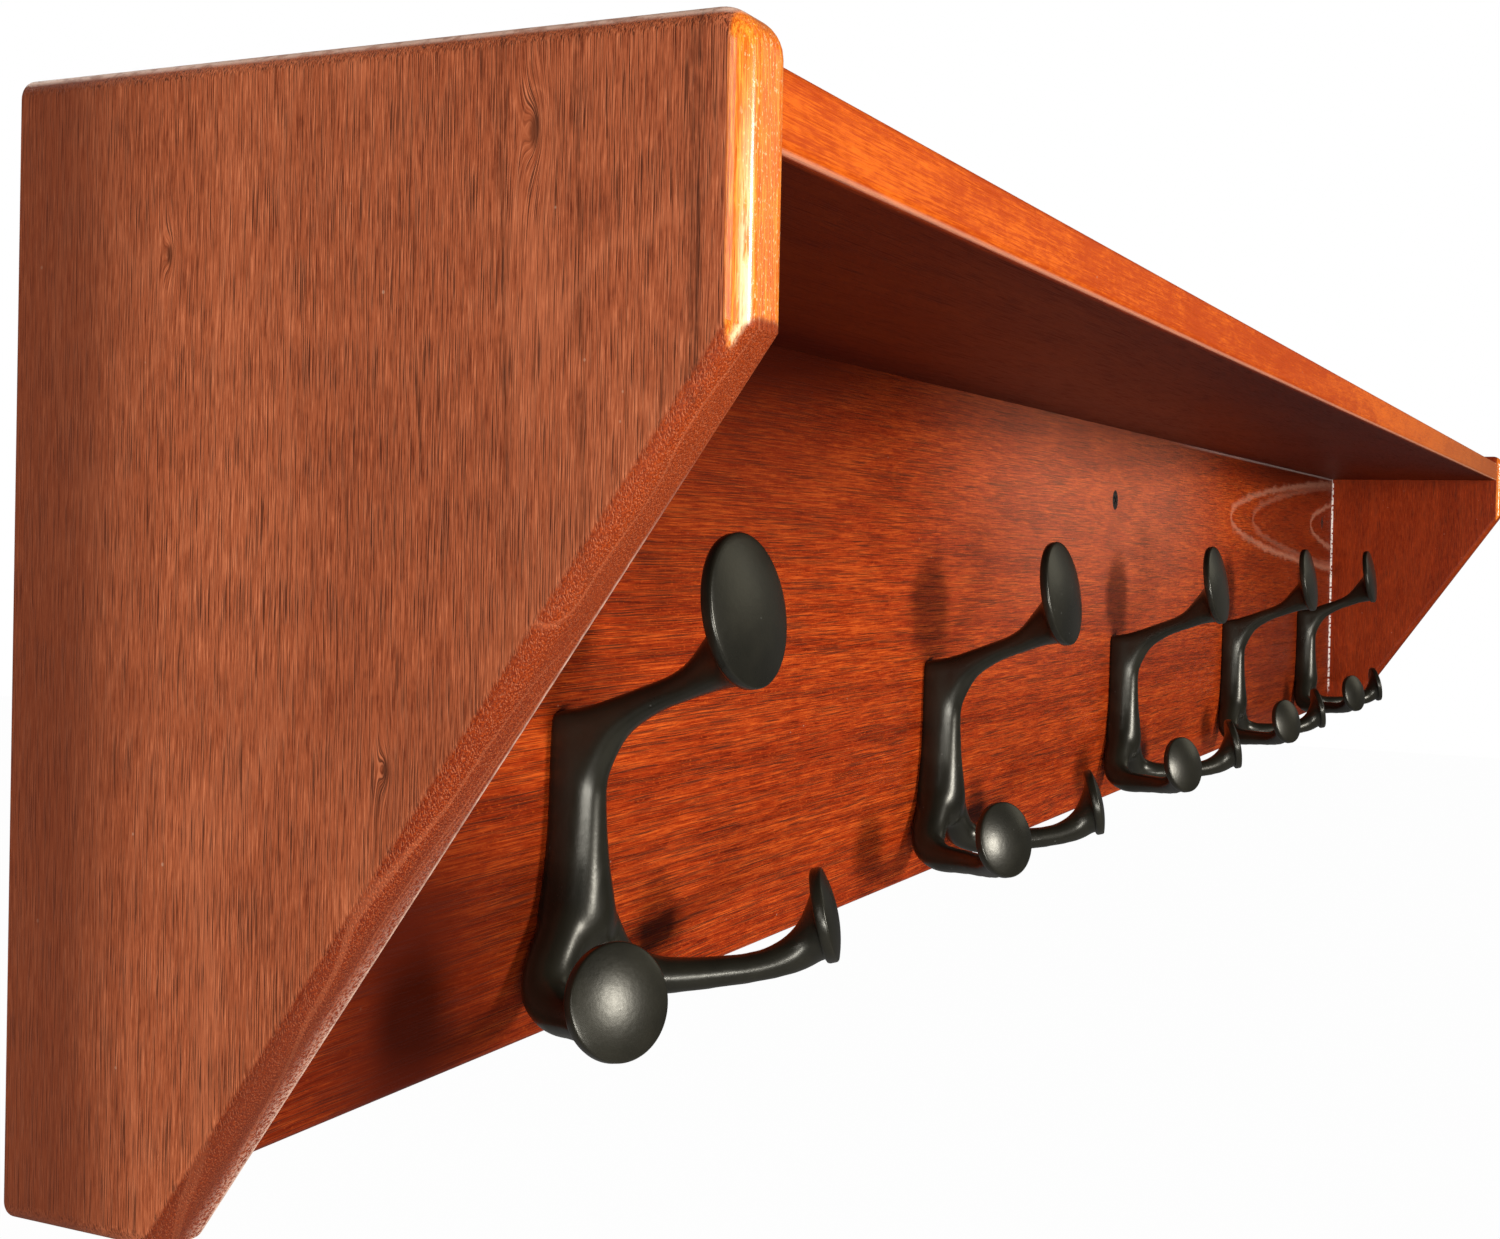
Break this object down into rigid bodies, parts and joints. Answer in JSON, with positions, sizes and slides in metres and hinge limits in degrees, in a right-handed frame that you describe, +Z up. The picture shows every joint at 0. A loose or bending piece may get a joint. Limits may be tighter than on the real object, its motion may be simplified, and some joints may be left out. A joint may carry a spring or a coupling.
{
  "type": "wall shelf with hooks",
  "caption": "Wooden wall shelf between two tapered side panels, with a back board that carries cast three-prong coat hooks.",
  "frame": {"origin": "middle of the back board's rear face, on the wall", "axes": "+X along the shelf to its right end seen from the front, +Y into the wall, +Z up"},
  "size_m": [0.88, 0.1285, 0.14],
  "materials": {
    "stained_wood": "red-brown stain under a satin lacquer",
    "black_hook": "satin black powder coat on a casting",
    "black_screw": "black oxide, satin",
    "zinc_screw": "zinc plated"
  },
  "bodies": {
    "root": {"left_side_panel": "stained_wood", "right_side_panel": "stained_wood", "shelf_board": "stained_wood", "back_board": "stained_wood", "coat_hooks": "black_hook", "hook_1_screw": "zinc_screw", "hook_2_screw": "zinc_screw", "hook_3_screw": "zinc_screw", "hook_4_screw": "zinc_screw", "hook_5_screw": "zinc_screw", "wall_screws": "black_screw"}
  },
  "joints": []
}
